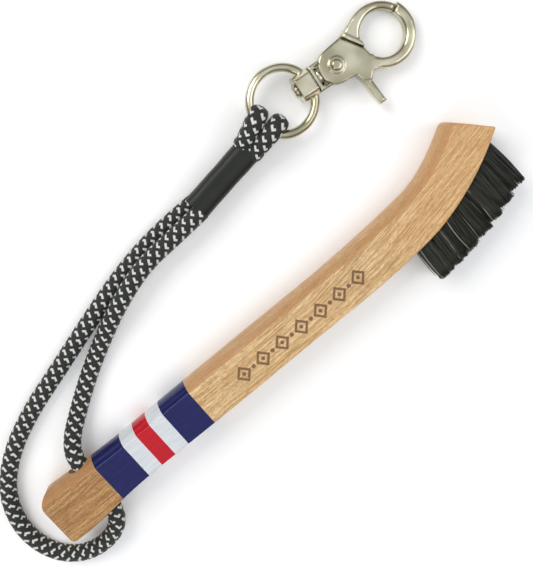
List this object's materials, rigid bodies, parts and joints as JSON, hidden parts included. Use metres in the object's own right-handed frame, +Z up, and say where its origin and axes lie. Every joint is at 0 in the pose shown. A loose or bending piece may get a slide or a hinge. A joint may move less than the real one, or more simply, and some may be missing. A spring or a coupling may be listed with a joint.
{
  "type": "club groove brush",
  "caption": "Curved wooden hand brush with short dark nylon tufts and striped bands, on a braided cord lanyard with a swivel ring and a sprung trigger snap hook.",
  "frame": {"origin": "under the middle of the brush's own bounding box, on the surface the brush lies on", "axes": "+X along the handle from butt to head, +Y towards the handle's back (the tufts point towards -Y), +Z up"},
  "size_m": [0.2198, 0.0938, 0.0161],
  "materials": {
    "beech": "satin lacquer",
    "navy_lacquer": "gloss",
    "white_lacquer": "gloss",
    "red_lacquer": "gloss",
    "nylon_bristle": "matte",
    "staple_wire": "drawn",
    "braided_cord": "braided",
    "sleeve_rubber": "semi-matte",
    "nickel_plate": "bright nickel",
    "spring_wire": "drawn"
  },
  "bodies": {
    "brush": {"handle": "beech", "band_navy_butt": "navy_lacquer", "band_white_butt": "white_lacquer", "band_red": "red_lacquer", "band_white_head": "white_lacquer", "band_navy_head": "navy_lacquer", "tuft_a1": "nylon_bristle", "tuft_a2": "nylon_bristle", "tuft_a3": "nylon_bristle", "tuft_a4": "nylon_bristle", "tuft_a5": "nylon_bristle", "tuft_a6": "nylon_bristle", "tuft_a7": "nylon_bristle", "tuft_b1": "nylon_bristle", "tuft_b2": "nylon_bristle", "tuft_b3": "nylon_bristle", "tuft_b4": "nylon_bristle", "tuft_b5": "nylon_bristle", "tuft_b6": "nylon_bristle", "tuft_c1": "nylon_bristle", "tuft_c2": "nylon_bristle", "tuft_c3": "nylon_bristle", "tuft_c4": "nylon_bristle", "tuft_c5": "nylon_bristle", "tuft_c6": "nylon_bristle", "tuft_c7": "nylon_bristle", "tuft_staples": "staple_wire"},
    "lanyard": {"lanyard_cord": "braided_cord", "ring_fold_a": "braided_cord", "ring_fold_b": "braided_cord", "cord_in_sleeve": "braided_cord", "sleeve": "sleeve_rubber"},
    "ring": {"swivel_ring": "nickel_plate", "swivel_stud": "nickel_plate"},
    "clasp": {"clasp_body": "nickel_plate", "jaw_rivet": "nickel_plate", "jaw_spring": "spring_wire"},
    "trigger": {"trigger_jaw": "nickel_plate"}
  },
  "joints": [
    {"name": "lanyard_swing", "type": "hinge", "parent": "brush", "child": "lanyard", "pos_m": [-0.0825, 0, 0.007], "axis": [0, 1, 0], "range_deg": [-150, 150]},
    {"name": "ring_flap", "type": "hinge", "parent": "lanyard", "child": "ring", "pos_m": [0.0413, 0.05755, 0.0079], "axis": [0.2106, -0.9776, 0], "range_deg": [-110, 110]},
    {"name": "clasp_swivel", "type": "hinge", "parent": "ring", "child": "clasp", "pos_m": [0.05151, 0.05975, 0.00697], "axis": [0.9902, -0.1117, -0.0843], "continuous": true},
    {"name": "trigger_squeeze", "type": "hinge", "parent": "clasp", "child": "trigger", "pos_m": [0.0725, 0.05738, 0.00518], "axis": [-0.0869, -0.0187, -0.996], "range_deg": [0, 28], "stiffness_Nm_per_rad": 0.08, "springref_deg": -17.19}
  ]
}
